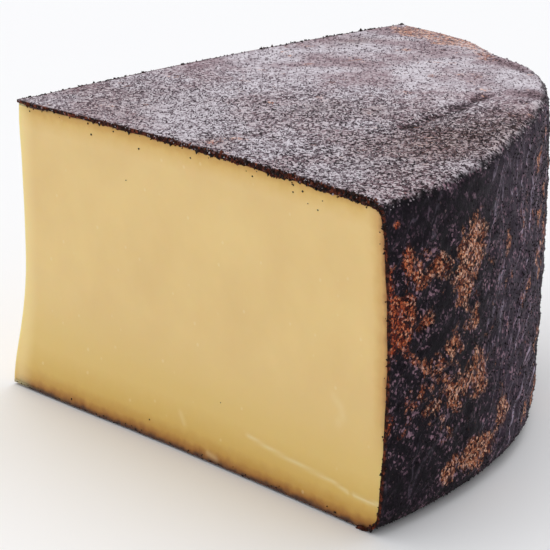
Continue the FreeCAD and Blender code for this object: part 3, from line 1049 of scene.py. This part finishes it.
groundsColours = {
    "ground_coffee": [(0.0, "#0C070A"), (0.6, "#1C1318"), (0.85, "#3A2C32"), (1.0, "#6A585C")],
    "roasted_crumb": [(0.0, "#0A0504"), (0.5, "#200E0A"), (0.85, "#461D12"), (1.0, "#6E3622")],
    # the grounds on top are lighter, partly with bloom and partly as a painted sheen
    "ground_coffee_with_bloom_and_sheen": [(0.0, "#1E161C"), (0.35, "#54474E"), (0.7, "#94878E"), (1.0, "#D8D0D6")],
}
darkGrounds, edgeGrounds, bloomAndSheenGrounds = [groundsFinish(*item) for item in groundsColours.items()]
cutCrumbs = {
    "perSquareMetre": 1.9e6, "smallest": 0.5 * mm, "largest": 1.7 * mm, "seed": 9, "finish": edgeGrounds}
faceCrumbs = {
    "perSquareMetre": 0.9e6, "smallest": 0.3 * mm, "largest": 1.0 * mm, "seed": 12, "finish": edgeGrounds}
topGrounds = {
    "perSquareMetre": 1.05e6, "smallest": 0.35 * mm, "largest": 1.0 * mm, "seed": 4, "finish": bloomAndSheenGrounds}
sideGrounds = {
    "perSquareMetre": 0.45e6, "smallest": 0.35 * mm, "largest": 1.1 * mm, "seed": 6, "finish": darkGrounds}


def strew(name, source, where, values):
    obj = addToScene(name, source.data.copy())
    runTree(obj, scatterTree(name, where, values), values)
    print(f"{name}: {len(obj.data.polygons)} faces")
    return obj


# stray grounds on the first cut face: mm out from the centre, mm up, size in mm
faceSpecks = [
    (37, 89, 0.9), (48, 92, 0.7), (60, 89, 0.8), (53, 78, 0.5), (84, 91, 0.8), (111, 91, 0.7),
    (128, 90, 0.7), (132, 91, 0.9), (134, 88, 0.6), (138, 87, 0.8), (140, 90, 0.6), (64, 6, 0.7),
    (96, 20, 0.4),
]


def speckPiece():
    work = bmesh.new()
    rng = np.random.default_rng(3)
    for out, up, size in faceSpecks:
        proud = float(proudOf(firstProud, np.array(out * mm), np.array(up * mm)))
        start = Vector((axisX + out * mm, axisY - proud + paste["faceInset"], up * mm))
        spin = Matrix.Rotation(rng.uniform(0.0, 6.0), 4, Vector(rng.normal(size=3)).normalized())
        stretch = Matrix.Diagonal((0.5 * size * mm, 0.32 * size * mm, 0.4 * size * mm, 1.0))
        placed = Matrix.Translation(start) @ stretch @ spin
        bmesh.ops.create_icosphere(work, subdivisions=1, radius=1.0, matrix=placed)
    mesh = bpy.data.meshes.new("faceSpecks")
    work.to_mesh(mesh)
    work.free()
    mesh.materials.append(edgeGrounds)
    return addToScene("faceSpecks", mesh)


# each piece and the material slot that it shows
pieces = [
    (pastePiece, "paste"),
    (rindPiece, "rind"),
    (strew("cutCrumbs", rindPiece, "strewnCut", cutCrumbs), "rind"),
    (strew("faceCrumbs", pastePiece, "strewnFace", faceCrumbs), "rind"),
    (speckPiece(), "rind"),
    (strew("topGrounds", rindPiece, "strewnTop", topGrounds), "rind"),
    (strew("sideGrounds", rindPiece, "strewnSide", sideGrounds), "rind"),
]
# every piece is kept inside the solid's own box
for obj, slotName in pieces:
    places = np.clip(readVectors(obj.data.vertices, "co"), np.array(cadBox[0]), np.array(cadBox[1]))
    obj.data.vertices.foreach_set("co", places.ravel())
    obj.data.update()
    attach(obj, "root")
    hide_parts(nodeName)
print("pieces in the frame")

stage = {
    "floorHalf": 6.0,                   # metres
    "floorColour": (0.9, 0.897, 0.902, 1.0),
    "floorRoughness": 0.9,
    "skyColour": (0.97, 0.98, 1.0, 1.0),
    "skyStrength": 0.715,
    "sunStrength": 1.3,
    "sunWidth": 60.0,                   # degrees, for soft shadows
    "sunFrom": (-0.4, 0.42, 1.2),
}
half = stage["floorHalf"]
floorCorners = [(-half, -half, 0), (half, -half, 0), (half, half, 0), (-half, half, 0)]
floor = meshObject("floor", floorCorners, [(0, 1, 2, 3)])
floorMaterial, _, fill = newMaterial("floor_white")
fill({"Base Color": stage["floorColour"], "Roughness": stage["floorRoughness"]})
floor.data.materials.append(floorMaterial)

world = bpy.data.worlds.new("surround")
bpy.context.scene.world = world
world.use_nodes = True
background = world.node_tree.nodes["Background"]
fillInputs(world.node_tree, background, {"Color": stage["skyColour"], "Strength": stage["skyStrength"]})

sunData = bpy.data.lights.new("softSun", "SUN")
sunData.energy = stage["sunStrength"]
sunData.angle = math.radians(stage["sunWidth"])
sun = addToScene("softSun", sunData)
sun.rotation_euler = Vector(stage["sunFrom"]).to_track_quat("Z", "Y").to_euler()

camera = {
    "azimuth": 48.82,
    "elevation": 17.28,
    "distance": 777.2 * mm,
    "target": (-31.6 * mm, -19.3 * mm, 35.5 * mm),
    "lens": 160.36,
    "clipStart": 0.05,
}
lensData = bpy.data.cameras.new("camera")
lensData.lens = camera["lens"]
lensData.clip_start = camera["clipStart"]
cameraObject = addToScene("camera", lensData)
azimuth, elevation = math.radians(camera["azimuth"]), math.radians(camera["elevation"])
level = math.cos(elevation)
back = Vector((math.sin(azimuth) * level, -math.cos(azimuth) * level, math.sin(elevation)))
cameraObject.location = Vector(camera["target"]) + back * camera["distance"]
cameraObject.rotation_euler = (-back).to_track_quat("-Z", "Y").to_euler()
bpy.context.scene.camera = cameraObject
bpy.context.scene.view_settings.view_transform = "Standard"

print("scene done")
